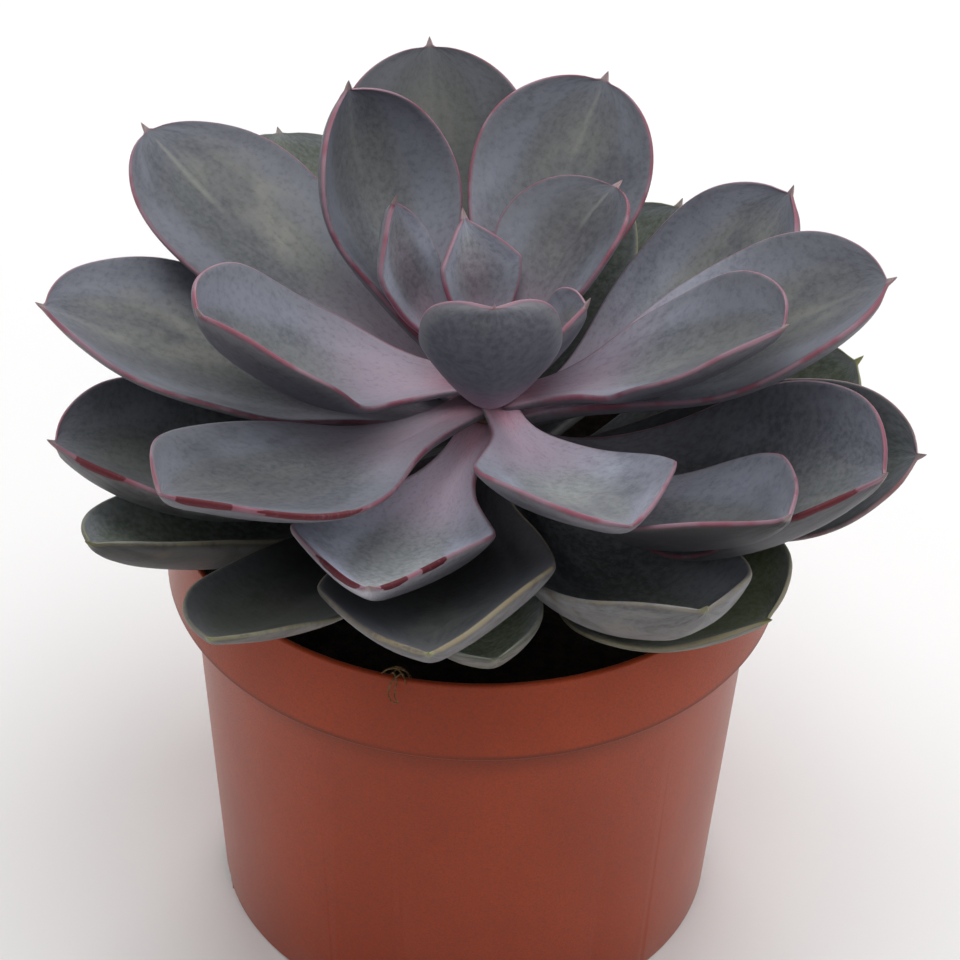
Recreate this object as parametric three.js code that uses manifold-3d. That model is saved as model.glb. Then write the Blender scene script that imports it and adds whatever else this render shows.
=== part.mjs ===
// Potted echeveria: a rosette of fleshy spoon-shaped leaves on a short stem, rooted in the potting
// mix of a thin-walled nursery pot. Millimetres, +Z up, origin at the middle of the pot's base.
// The side that is seen in the usual view faces -Y.

import * as THREE from 'three';
import { mergeVertices } from 'three/addons/utils/BufferGeometryUtils.js';
import Module from 'manifold-3d';

const GAP = 0.3; // clearance between pieces that touch on the real plant

// Pot
const POT_HEIGHT = 82.5;
const POT_SIDES = 60;
const FOOT_RADIUS = 43.3; // outside of the wall at the ground
const WALL_TOP_RADIUS = 48.4; // outside of the wall just under the collar
const COLLAR_HEIGHT = 14.8;
const COLLAR_FOOT_RADIUS = 52.5;
const RIM_RADIUS = 51.3;
const WALL = 1.1;
const FLOOR = 1.4;

// Drain pockets: raised troughs under the floor that run out through the foot of the wall
const POCKETS = 6;
const POCKET_TURN = 308; // degrees, the pocket seen at the front right
const POCKET_INNER = 29; // distance of its inner end from the middle
const POCKET_WIDTH = 11;
const POCKET_HEIGHT = 2.2;
const DRAIN_RADIUS = 3;
const DRAIN_PLACE = 36; // distance of the drain hole from the middle
const DRAIN_LENGTH = 9; // of the cutter, more than the floor and the pocket's roof together
const DRAIN_SIDES = 16;

// Potting mix
const SOIL_TOP = 73.5;
const SOIL_SIDES = 40;
const SOIL_RINGS = [0.85, 0.66, 0.46, 0.24]; // rings of points in its surface, as shares of its edge
const SOIL_FLAT_EDGE = 0.9; // share of the radius beyond which the surface stays flat
// Lumps of the surface, as crossing waves: height, waves along X and Y in radians per mm, start
const SOIL_LUMPS = [
  { height: 0.3, alongX: 0.31, alongY: 0.37, start: 0.7 },
  { height: 0.3, alongX: 0.31, alongY: -0.37, start: 1.9 },
  { height: 0.3, alongX: 0.63, alongY: -0.63, start: 0 },
];

// Stem, a little off the middle of the pot
const STEM_X = 2;
const STEM_FOOT = 48;
const STEM_FOOT_RADIUS = 3;
const STEM_RADIUS = 6.4;
const STEM_STRAIGHT = [65, 80]; // heights between which it keeps that radius
const STEM_TOP = 104;
const STEM_TOP_RADIUS = 4.2;
const STEM_SIDES = 20;

// Leaf form, shared by all leaves
const WIDEST = 0.66; // station of the greatest width, root 0 to apex 1
const ROOT_SHARE = 0.18; // width at the root, as a share of the greatest width
const SHOULDER = 1.7; // how late the blade widens, usually
const APEX_POWER = 0.55; // a little blunter than an ellipse, which has 0.5
const CORNER = 2; // bend of the outline past its widest place; nearer 1 makes angled shoulders
const THICKEST = 0.45; // station of the greatest thickness
const ROOT_THICKNESS = 0.62; // as a share of the greatest thickness
const LEAST_THICKNESS = 0.2;
const THICKNESS_OF_WIDTH = [0.8, 0.085]; // greatest thickness: a fixed part and a share of the width
const MARGIN = 0.9; // thickness of the leaf's edge
const FULLNESS = 0.75; // how quickly the leaf thickens in from the edge
const POINT = 2; // usual length of the small pointed tip
const STRAIGHT_STATION = 0.35; // where a leaf that sweeps sideways keeps its own direction
const ROOT_RING = 5.9; // distance of the inmost roots from the stem's axis
const ROOT_RING_STEP = 0.055; // each next leaf sits this much further out
const CURL = 40; // degrees
const CURL_START = 0.45; // share of the curl that lies below the mean slope at the root
const CURL_END = 0.55; // and above it at the apex
const CHANNEL = 0.35;

// Facets of a leaf
const ROWS = [0, 0.12, 0.28, 0.46, 0.64, 0.8, 0.92, 0.98]; // stations along it
const ACROSS = 6; // facets across each face
const MIDRIB_STEPS = 50;

// The leaves from the heart outwards. turn: compass angle about the stem. root: height of the root's
// upper face. rise: mean slope. curl: how much steeper the apex is than the root. tilt: roll about the
// midrib. sweep: sideways bend from root to apex. channel: depth of the hollow face against half the
// width. plump: thickness against the usual. shoulder: how late the blade widens. corner: how round
// it is past its widest place. apex: how pointed it is. tip: length of its point. Angles in degrees.
const LEAVES = [
  { turn: 107, root: 108, length: 22, width: 15, rise: 60, curl: -14, tilt: 16, sweep: 6,
    channel: 0.47, shoulder: 1.2, corner: 1.1, apex: 0.9 },
  { turn: 145, root: 108.5, length: 30, width: 16, rise: 58, curl: 74, tilt: 3, sweep: 17,
    channel: 0.19, plump: 1.1, shoulder: 1.3, corner: 1.5, apex: 0.9 },
  { turn: 270, root: 106.5, length: 42, width: 22, rise: 56, curl: 60, tilt: -2, sweep: 12,
    channel: 0.56, plump: 0.65, shoulder: 2.1, corner: 2.6, apex: 0.35, tip: 0.8 },
  { turn: 56, root: 106, length: 35, width: 24, rise: 39, curl: -33, tilt: -8, sweep: -19,
    channel: 0.36, apex: 0.6 },
  { turn: 203, root: 107, length: 55, width: 35, rise: 29, curl: 59, tilt: -5, sweep: 30,
    channel: 0.41, plump: 0.65, shoulder: 1.6, corner: 1.9, apex: 0.7 },
  { turn: 337, root: 104.5, length: 53, width: 30, rise: 33, curl: 12, tilt: 7, sweep: -19,
    channel: 0.33, plump: 0.9, shoulder: 2.3 },
  { turn: 131, root: 103.5, length: 54, width: 31, rise: 50, curl: 66, tilt: 13, sweep: -9,
    channel: 0.44, plump: 0.8 },
  { turn: 288.5, root: 103.2, length: 62, width: 32, rise: 19, curl: 22, tilt: -8, sweep: 10,
    channel: 0.35, plump: 0.72, shoulder: 2.2, corner: 1.15, apex: 0.95, tip: 0.8 },
  { turn: 231, root: 103.5, length: 77, width: 37, rise: 18, curl: 23, tilt: 3, sweep: 1,
    channel: 0.16, plump: 0.9, shoulder: 2.8, apex: 1.15, tip: 0.7 },
  { turn: 73, root: 103.5, length: 57, width: 30, rise: 30, curl: 18, tilt: 9, sweep: -17,
    channel: 0.48 },
  { turn: 147, root: 101, length: 71, width: 34, rise: 21, curl: 17, tilt: -1, sweep: -9,
    channel: 0.22 },
  { turn: 253, root: 99.3, length: 67, width: 32, rise: 13, curl: 56, tilt: 6, sweep: 19,
    channel: 0.44, plump: 0.67, shoulder: 2.4, corner: 1.1, apex: 1.1 },
  { turn: -7, root: 101.5, length: 65, width: 34, rise: 29, curl: 5, tilt: 8, sweep: 3,
    channel: 0.25, plump: 1.3 },
  { turn: 27, root: 97, length: 60, width: 37, rise: 31, curl: 58, tilt: -7, sweep: 7, channel: 0.27 },
  { turn: 309, root: 97.3, length: 75, width: 34, rise: 21, curl: 53, tilt: -1, sweep: -11,
    channel: 0.44, plump: 0.57, shoulder: 4.4, corner: 1.4, apex: 0.97 },
  { turn: 102, root: 97.5, length: 70, width: 35, rise: 26, curl: 15, tilt: -5, sweep: -13,
    channel: 0.28 },
  { turn: 180, root: 97.5, length: 71, width: 39, rise: 18, curl: 27, tilt: 1, sweep: 16,
    channel: 0.28, plump: 0.62 },
  { turn: 331, root: 93.8, length: 72, width: 42, rise: 18, curl: 58, tilt: 12, sweep: -17,
    channel: 0.42, plump: 0.65, shoulder: 1.9 },
  { turn: 263, root: 93.9, length: 74, width: 37, rise: 13, curl: 40, tilt: 11, sweep: 7,
    channel: 0.36, plump: 0.85, shoulder: 1.6, corner: 1.1, apex: 0.95 },
  { turn: 299, root: 89.9, length: 70, width: 35, rise: 15, curl: 72, tilt: -7, sweep: -3,
    channel: 0.46, plump: 0.72, corner: 1.8, apex: 0.66 },
  { turn: 195, root: 93.5, length: 69, width: 36, rise: 9, curl: 48, sweep: 6,
    channel: 0.39, plump: 1.15 },
  { turn: 235, root: 89.2, length: 76, width: 24, rise: 11, curl: 47, tilt: 3, sweep: 24,
    channel: 0.35, plump: 0.6, corner: 1.9, apex: 0.57 },
  { turn: 82, root: 92, length: 70, width: 30, rise: 23, curl: 31, tilt: -5, sweep: -3, channel: 0.36 },
  { turn: 348, root: 90.5, length: 67, width: 32, rise: 13, curl: 23, tilt: 23, sweep: -17,
    channel: 0.15 },
  { turn: 206, root: 84.1, length: 70, width: 24, rise: 11, curl: 46, tilt: 9, sweep: 34,
    channel: 0.46, plump: 1.3 },
  { turn: 160, root: 88, length: 69, width: 26, rise: 14, tilt: -11, sweep: -18,
    channel: 0.23, plump: 1.1 },
  { turn: 316, root: 86.5, length: 57, width: 39, rise: 5, curl: 46, tilt: 4, sweep: -3,
    channel: 0.22, plump: 0.8 },
  { turn: 124, root: 90.5, length: 73, width: 34, rise: 16, curl: -12, tilt: 6, sweep: -26,
    channel: 0.26 },
  { turn: 15, root: 84.5, length: 60, width: 31, rise: 14, curl: 41, tilt: 17, sweep: 3,
    channel: 0.18, plump: 1.05 },
  { turn: 79, root: 87.5, length: 67, width: 31, rise: 18, curl: 47, tilt: 7, sweep: -7,
    channel: 0.22, plump: 1.1 },
  { turn: 65, root: 84, length: 69, width: 34, rise: 11, curl: 42, tilt: -9, sweep: -13, channel: 0.34 },
  { turn: 130, root: 83.5, length: 76, width: 30, rise: 16, curl: -13, tilt: 5, sweep: -3,
    channel: 0.3 },
  { turn: 270, root: 86, length: 53, width: 20, rise: 8, curl: 58, tilt: 8, sweep: 16,
    channel: 0.45, plump: 0.95 },
  { turn: 100, root: 81, length: 64, width: 19, rise: 14, curl: 41, tilt: 5, sweep: -31, channel: 0.27 },
];

// The bud at the heart: young leaves grown together with the core that they stand on
const CORE_BOTTOM = STEM_TOP + GAP;
const CORE_TOP = 109;
const CORE_RADIUS = 4.6;
const CORE_SHOULDER = { height: 0.7, radius: 0.9 }; // shares of its height and its radius
const BUD_LEAF = { turn: 349, root: 105.5, length: 21, width: 15, rise: 59, curl: 0, tilt: 6, channel: 0.41 };
const BUD_LEAF_RING = 4.2; // distance of its root from the axis
const BUD_LEAVES = 5;
const GOLDEN_ANGLE = 137.5;
const BUD_TURN = 45; // compass angle of the outermost of the young leaves
const BUD_RING = 3.4; // distance of their roots from the axis, outermost leaf
const BUD_RING_STEP = 0.5;
const BUD_ROOT = 106.2; // height of their roots
const BUD_LENGTH = 11.5;
const BUD_LENGTH_STEP = 1.3;
const BUD_WIDTH = 0.7; // share of the length
const BUD_RISE = 66;
const BUD_RISE_STEP = 4;
const BUD_CURL = 20;

const FINISHES = {
  pot: { color: 0x91503c, roughness: 0.55 },
  soil: { color: 0x33291f, roughness: 0.95 },
  stem: { color: 0x6b5140, roughness: 0.85 },
  bud: { color: 0x9c6a78, roughness: 0.55 },
  leaf: { color: 0x8b7f86, roughness: 0.6 },
};
const OLD_LEAF_COLOUR = 0x6f746a;

const rad = THREE.MathUtils.degToRad;
const { lerp } = THREE.MathUtils;
const wasm = await Module();
wasm.setup();

// ---------------------------------------------------------------- solids

// A closed geometry as a solid that can be joined and cut.
function toSolid(geometry) {
  const bare = geometry.clone();
  bare.deleteAttribute('normal');
  bare.deleteAttribute('uv');
  const merged = mergeVertices(bare, 1e-4);
  const vertProperties = new Float32Array(merged.attributes.position.array);
  const triVerts = fullTriangles(merged.index.array);
  return new wasm.Manifold(new wasm.Mesh({ numProp: 3, vertProperties, triVerts }));
}

// Leaves out the triangles that have shrunk to a line, such as those at the axis of a turned solid.
function fullTriangles(index) {
  const kept = [];
  for (let i = 0; i < index.length; i += 3) {
    const [a, b, c] = [index[i], index[i + 1], index[i + 2]];
    if (a !== b && b !== c && c !== a) {
      kept.push(a, b, c);
    }
  }
  return new Uint32Array(kept);
}

function toGeometry(solid) {
  const mesh = solid.getMesh();
  const geometry = new THREE.BufferGeometry();
  geometry.setAttribute('position', new THREE.BufferAttribute(mesh.vertProperties, 3));
  geometry.setIndex(new THREE.BufferAttribute(mesh.triVerts, 1));
  geometry.computeVertexNormals();
  return geometry;
}

function joined(solids) {
  return solids.reduce((whole, solid) => whole.add(solid));
}

// A turned solid about Z from a profile of [radius, height] pairs, from the axis up to the axis.
function turned(profile, sides) {
  const points = profile.map(([radius, height]) => new THREE.Vector2(radius, height));
  return new THREE.LatheGeometry(points, sides).rotateX(Math.PI / 2);
}

function piece(name, geometry, finish) {
  const material = new THREE.MeshStandardMaterial({ ...finish, metalness: 0 });
  const mesh = new THREE.Mesh(geometry, material);
  mesh.name = name;
  return mesh;
}

// ---------------------------------------------------------------- pot

const LEDGE = POT_HEIGHT - COLLAR_HEIGHT; // height at which the collar starts

// Outside radius of the wall below the collar.
function wallRadius(height) {
  return lerp(FOOT_RADIUS, WALL_TOP_RADIUS, height / LEDGE);
}

// A copy of a solid at each drain pocket, from one made along +X.
function aroundPockets(geometry) {
  const copies = [];
  for (let i = 0; i < POCKETS; i += 1) {
    const turn = rad(POCKET_TURN + (360 / POCKETS) * i);
    copies.push(toSolid(geometry.clone().rotateZ(turn)));
  }
  return joined(copies);
}

// The drain pockets' hollows, grown on every side by a skin of the given thickness.
function pocketBlocks(skin) {
  const outerEnd = FOOT_RADIUS + 2 * WALL;
  const innerEnd = POCKET_INNER - skin;
  const top = POCKET_HEIGHT + skin;
  const bottom = -FLOOR;
  const block = new THREE.BoxGeometry(outerEnd - innerEnd, POCKET_WIDTH + 2 * skin, top - bottom);
  block.translate((outerEnd + innerEnd) / 2, 0, (top + bottom) / 2);
  return aroundPockets(block);
}

function drainHoles() {
  const hole = new THREE.CylinderGeometry(DRAIN_RADIUS, DRAIN_RADIUS, DRAIN_LENGTH, DRAIN_SIDES);
  hole.rotateX(Math.PI / 2);
  hole.translate(DRAIN_PLACE, 0, POCKET_HEIGHT);
  return aroundPockets(hole);
}

function potGeometry() {
  const outside = toSolid(turned([
    [0, 0],
    [FOOT_RADIUS, 0],
    [WALL_TOP_RADIUS, LEDGE],
    [COLLAR_FOOT_RADIUS, LEDGE],
    [RIM_RADIUS, POT_HEIGHT],
    [0, POT_HEIGHT],
  ], POT_SIDES));
  const inside = toSolid(turned([
    [0, FLOOR],
    [wallRadius(FLOOR) - WALL, FLOOR],
    [WALL_TOP_RADIUS - WALL, LEDGE + WALL],
    [COLLAR_FOOT_RADIUS - WALL, LEDGE + WALL],
    [RIM_RADIUS - WALL, POT_HEIGHT],
    [RIM_RADIUS - WALL, POT_HEIGHT + WALL],
    [0, POT_HEIGHT + WALL],
  ], POT_SIDES));
  const pocketRoofs = pocketBlocks(FLOOR).intersect(outside);
  const shell = outside.subtract(inside).add(pocketRoofs);
  return toGeometry(shell.subtract(pocketBlocks(0)).subtract(drainHoles()));
}

// ---------------------------------------------------------------- stem and soil

// The stem's profile, grown outwards for the hole that it stands in.
function stemProfile(growth) {
  const [low, high] = STEM_STRAIGHT;
  return [
    [0, STEM_FOOT - growth],
    [STEM_FOOT_RADIUS + growth, STEM_FOOT - growth],
    [STEM_RADIUS + growth, low],
    [STEM_RADIUS + growth, high],
    [STEM_TOP_RADIUS + growth, STEM_TOP + growth],
    [0, STEM_TOP + growth],
  ];
}

function stemGeometry() {
  return toGeometry(toSolid(turned(stemProfile(0), STEM_SIDES)));
}

// Height of the lumps in the potting mix.
function soilLump(x, y) {
  const waves = SOIL_LUMPS.map(({ height, alongX, alongY, start }) => (
    height * Math.sin(alongX * x + alongY * y + start)
  ));
  return waves.reduce((sum, wave) => sum + wave);
}

function soilGeometry() {
  const skin = WALL + GAP;
  const foot = FLOOR + GAP;
  const shelf = LEDGE + WALL + GAP;
  const edge = lerp(COLLAR_FOOT_RADIUS, RIM_RADIUS, (SOIL_TOP - LEDGE) / COLLAR_HEIGHT) - skin;
  const geometry = turned([
    [0, foot],
    [wallRadius(foot) - skin, foot],
    [WALL_TOP_RADIUS - skin, shelf],
    [edge, shelf],
    [edge, SOIL_TOP],
    ...SOIL_RINGS.map((share) => [share * edge, SOIL_TOP]),
    [0, SOIL_TOP],
  ], SOIL_SIDES);
  const place = geometry.attributes.position;
  for (let i = 0; i < place.count; i += 1) {
    const x = place.getX(i);
    const y = place.getY(i);
    const inSurface = place.getZ(i) > SOIL_TOP - GAP && Math.hypot(x, y) < SOIL_FLAT_EDGE * edge;
    if (inSurface) {
      place.setZ(i, SOIL_TOP + soilLump(x, y));
    }
  }
  const stemHole = turned(stemProfile(GAP), STEM_SIDES).translate(STEM_X, 0, 0);
  const solid = toSolid(geometry).subtract(pocketBlocks(FLOOR + GAP)).subtract(toSolid(stemHole));
  return toGeometry(solid);
}

// ---------------------------------------------------------------- leaves

// Width of a leaf at a station, as a share of its greatest width.
function widthShare(station, { apex = APEX_POWER, shoulder = SHOULDER, corner = CORNER }) {
  if (station < WIDEST) {
    const swell = Math.sin((Math.PI / 2) * (station / WIDEST)) ** shoulder;
    return lerp(ROOT_SHARE, 1, swell);
  }
  const past = (station - WIDEST) / (1 - WIDEST);
  return (1 - past ** corner) ** apex;
}

// Thickness of a leaf along its midrib, as a share of its greatest thickness.
function thicknessShare(station) {
  if (station < THICKEST) {
    return lerp(ROOT_THICKNESS, 1, Math.sin((Math.PI / 2) * (station / THICKEST)));
  }
  const past = (station - THICKEST) / (1 - THICKEST);
  return Math.max(LEAST_THICKNESS, Math.sqrt(1 - past ** 3));
}

// Directions of a leaf at a station: along the midrib, to its left, and up out of the hollow face.
function leafDirections({ rise, curl = CURL, tilt = 0, sweep = 0 }, station) {
  const bend = (2 * station - 1) * lerp(CURL_START, CURL_END, station);
  const slope = rad(rise + curl * bend);
  const heading = rad(sweep * (station - STRAIGHT_STATION));
  const along = new THREE.Vector3(
    Math.cos(slope) * Math.cos(heading),
    Math.cos(slope) * Math.sin(heading),
    Math.sin(slope),
  );
  const left = new THREE.Vector3(-Math.sin(heading), Math.cos(heading), 0);
  left.applyAxisAngle(along, rad(tilt));
  const up = new THREE.Vector3().crossVectors(along, left);
  return { along, left, up };
}

// Point of the midrib at a station, from the root at the origin.
function midribPoint(leaf, station) {
  const point = new THREE.Vector3();
  const step = station / MIDRIB_STEPS;
  for (let i = 0; i < MIDRIB_STEPS; i += 1) {
    const { along } = leafDirections(leaf, (i + 0.5) * step);
    point.addScaledVector(along, step * leaf.length);
  }
  return point;
}

// A leaf with its root at the origin, growing out along +X, its hollow face up. Each ring of points
// runs across the upper face from right to left, then back across the lower face.
function leafGeometry(leaf) {
  const { width, channel = CHANNEL, plump = 1, tip = POINT } = leaf;
  const thickness = plump * (THICKNESS_OF_WIDTH[0] + THICKNESS_OF_WIDTH[1] * width);
  const points = [];
  for (const station of ROWS) {
    const middle = midribPoint(leaf, station);
    const { left, up } = leafDirections(leaf, station);
    const halfWidth = (widthShare(station, leaf) * width) / 2;
    const upper = [];
    const lower = [];
    for (let j = 0; j <= ACROSS; j += 1) {
      const across = (2 * j) / ACROSS - 1;
      const point = middle.clone();
      point.addScaledVector(left, across * halfWidth);
      point.addScaledVector(up, channel * halfWidth * across ** 2);
      const outwards = up.clone().addScaledVector(left, -2 * channel * across).normalize();
      const extra = Math.max(0, thickness * thicknessShare(station) - MARGIN);
      const depth = MARGIN + extra * (1 - across ** 2) ** FULLNESS;
      upper.push(point);
      lower.unshift(point.clone().addScaledVector(outwards, -depth));
    }
    points.push(...upper, ...lower);
  }
  const { along } = leafDirections(leaf, 1);
  points.push(midribPoint(leaf, 1).addScaledVector(along, tip));
  const geometry = new THREE.BufferGeometry().setFromPoints(points);
  geometry.setIndex(leafTriangles());
  geometry.computeVertexNormals();
  return geometry;
}

function leafTriangles() {
  const ring = 2 * (ACROSS + 1);
  const tip = ROWS.length * ring;
  const last = tip - ring;
  const triangles = [];
  for (let j = 0; j < ring; j += 1) {
    const next = (j + 1) % ring;
    for (let row = 0; row < last; row += ring) {
      const [a, b, c, d] = [row + j, row + next, row + ring + next, row + ring + j];
      const lowerFace = j > ACROSS; // its diagonals lie under those of the upper face
      if (lowerFace) {
        triangles.push(a, d, b, b, d, c);
      } else {
        triangles.push(a, d, c, a, c, b);
      }
    }
    triangles.push(last + j, tip, last + next);
  }
  for (let j = 0; j < ACROSS; j += 1) {
    const below = ring - 1 - j;
    triangles.push(j, j + 1, below, j + 1, below - 1, below);
  }
  return triangles;
}

function leafPiece(leaf, i) {
  const mesh = piece(`leaf_${String(i + 1).padStart(2, '0')}`, leafGeometry(leaf), FINISHES.leaf);
  mesh.material.color.lerp(new THREE.Color(OLD_LEAF_COLOUR), i / LEAVES.length);
  const turn = rad(leaf.turn);
  const ring = ROOT_RING + ROOT_RING_STEP * i;
  mesh.position.set(ring * Math.cos(turn), ring * Math.sin(turn), leaf.root);
  mesh.rotation.z = turn;
  return mesh;
}

// ---------------------------------------------------------------- bud

// A young leaf as a solid about the stem's axis.
function budLeaf(leaf, ring) {
  const geometry = leafGeometry(leaf).translate(ring, 0, leaf.root);
  return toSolid(geometry.rotateZ(rad(leaf.turn)));
}

function budGeometry() {
  const core = toSolid(turned([
    [0, CORE_BOTTOM],
    [CORE_RADIUS, CORE_BOTTOM],
    [CORE_SHOULDER.radius * CORE_RADIUS, lerp(CORE_BOTTOM, CORE_TOP, CORE_SHOULDER.height)],
    [0, CORE_TOP],
  ], STEM_SIDES));
  const solids = [core, budLeaf(BUD_LEAF, BUD_LEAF_RING)];
  for (let i = 0; i < BUD_LEAVES; i += 1) {
    const length = BUD_LENGTH - BUD_LENGTH_STEP * i;
    const young = {
      turn: BUD_TURN + GOLDEN_ANGLE * i,
      root: BUD_ROOT,
      length,
      width: BUD_WIDTH * length,
      rise: BUD_RISE + BUD_RISE_STEP * i,
      curl: BUD_CURL,
    };
    solids.push(budLeaf(young, BUD_RING - BUD_RING_STEP * i));
  }
  return toGeometry(joined(solids));
}

// ---------------------------------------------------------------- assembly

const part = new THREE.Group();
part.add(piece('pot', potGeometry(), FINISHES.pot));
part.add(piece('soil', soilGeometry(), FINISHES.soil));

const plant = new THREE.Group();
plant.position.x = STEM_X;
plant.add(piece('stem', stemGeometry(), FINISHES.stem));
plant.add(piece('bud', budGeometry(), FINISHES.bud));
plant.add(...LEAVES.map(leafPiece));
part.add(plant);

export default part;
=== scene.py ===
"""Looks of the potted echeveria: fine leaves with waxy bloom and pink margins, potting mix, pot.

Metres, +Z up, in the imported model's frame. The leaf form and the leaf schedule are those of the
solids, so each fine leaf lies on the node that it replaces.
"""
import math
import random
from types import SimpleNamespace

import bpy
import numpy as np
from mathutils import Matrix, Vector
from mathutils import noise as field


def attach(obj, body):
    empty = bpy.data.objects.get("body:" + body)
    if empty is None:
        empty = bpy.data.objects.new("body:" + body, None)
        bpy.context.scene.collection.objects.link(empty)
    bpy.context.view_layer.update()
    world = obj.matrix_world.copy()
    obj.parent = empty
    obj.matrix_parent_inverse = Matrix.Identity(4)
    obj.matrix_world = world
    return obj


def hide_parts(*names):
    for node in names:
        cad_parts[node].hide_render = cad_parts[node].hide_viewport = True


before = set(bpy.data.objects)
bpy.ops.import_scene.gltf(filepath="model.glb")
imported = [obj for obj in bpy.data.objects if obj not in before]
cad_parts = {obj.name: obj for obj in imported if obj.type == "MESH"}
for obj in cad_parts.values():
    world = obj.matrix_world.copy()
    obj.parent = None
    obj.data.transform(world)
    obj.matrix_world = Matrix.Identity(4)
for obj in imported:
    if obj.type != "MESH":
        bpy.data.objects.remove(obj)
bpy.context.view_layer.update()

MM = 0.001
COLLECTION = bpy.context.scene.collection

# ---------------------------------------------------------------- dimensions of the solids, in mm

# Pot
POT_HEIGHT = 82.5
COLLAR_HEIGHT = 14.8
LEDGE = POT_HEIGHT - COLLAR_HEIGHT  # height at which the collar starts
FOOT_RADIUS = 43.3
WALL_TOP_RADIUS = 48.4
COLLAR_FOOT_RADIUS = 52.5
RIM_RADIUS = 51.3
WALL = 1.1
FLOOR = 1.4

# Drain pockets under the floor
POCKETS = 6
POCKET_TURN = 308  # degrees
POCKET_INNER = 29
POCKET_WIDTH = 11
POCKET_HEIGHT = 2.2
DRAIN_RADIUS = 3
DRAIN_PLACE = 36

# Potting mix, with its lumps as crossing waves: height, waves along X and Y, start
SOIL_TOP = 73.5
SOIL_LUMPS = [(0.3, 0.31, 0.37, 0.7), (0.3, 0.31, -0.37, 1.9), (0.3, 0.63, -0.63, 0)]
GAP = 0.3  # clearance between pieces that touch on the real plant

# Stem
STEM_X = 2
STEM_RADIUS = 6.4
STEM_STRAIGHT = 80  # height up to which it keeps that radius
STEM_TOP = 104
STEM_TOP_RADIUS = 4.2

# Leaf form. A station is a place along the leaf: 0 at its root, 1 at its apex.
WIDEST = 0.66  # station of the greatest width
ROOT_SHARE = 0.18  # width at the root, as a share of the greatest width
SHOULDER = 1.7  # how late the blade widens, usually
APEX_POWER = 0.55  # a little blunter than an ellipse, which has 0.5
CORNER = 2  # how late the blade narrows, usually
THICKEST = 0.45  # station of the greatest thickness
ROOT_THICKNESS = 0.62  # thickness at the root, as a share of the greatest
LEAST_THICKNESS = 0.2
THICKNESS_OF_WIDTH = (0.8, 0.085)  # greatest thickness: mm, and more for each mm of width
MARGIN = 0.9  # thickness at the edge
FULLNESS = 0.75  # how quickly the leaf thickens in from the edge
POINT = 2  # length of the point beyond the apex, usually
STRAIGHT_STATION = 0.35  # where a leaf that sweeps sideways keeps its own direction
CURL = 40  # usual rise of the blade from root to apex, in degrees
CURL_START = 0.45  # share of it below the mean slope at the root
CURL_END = 0.55  # and above it at the apex
CHANNEL = 0.35  # depth of the hollow face against half the width, usually
ROOT_RING = 5.9  # distance of the innermost leaf's root from the stem's axis
ROOT_RING_STEP = 0.055  # each next leaf sits this much further out

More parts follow.
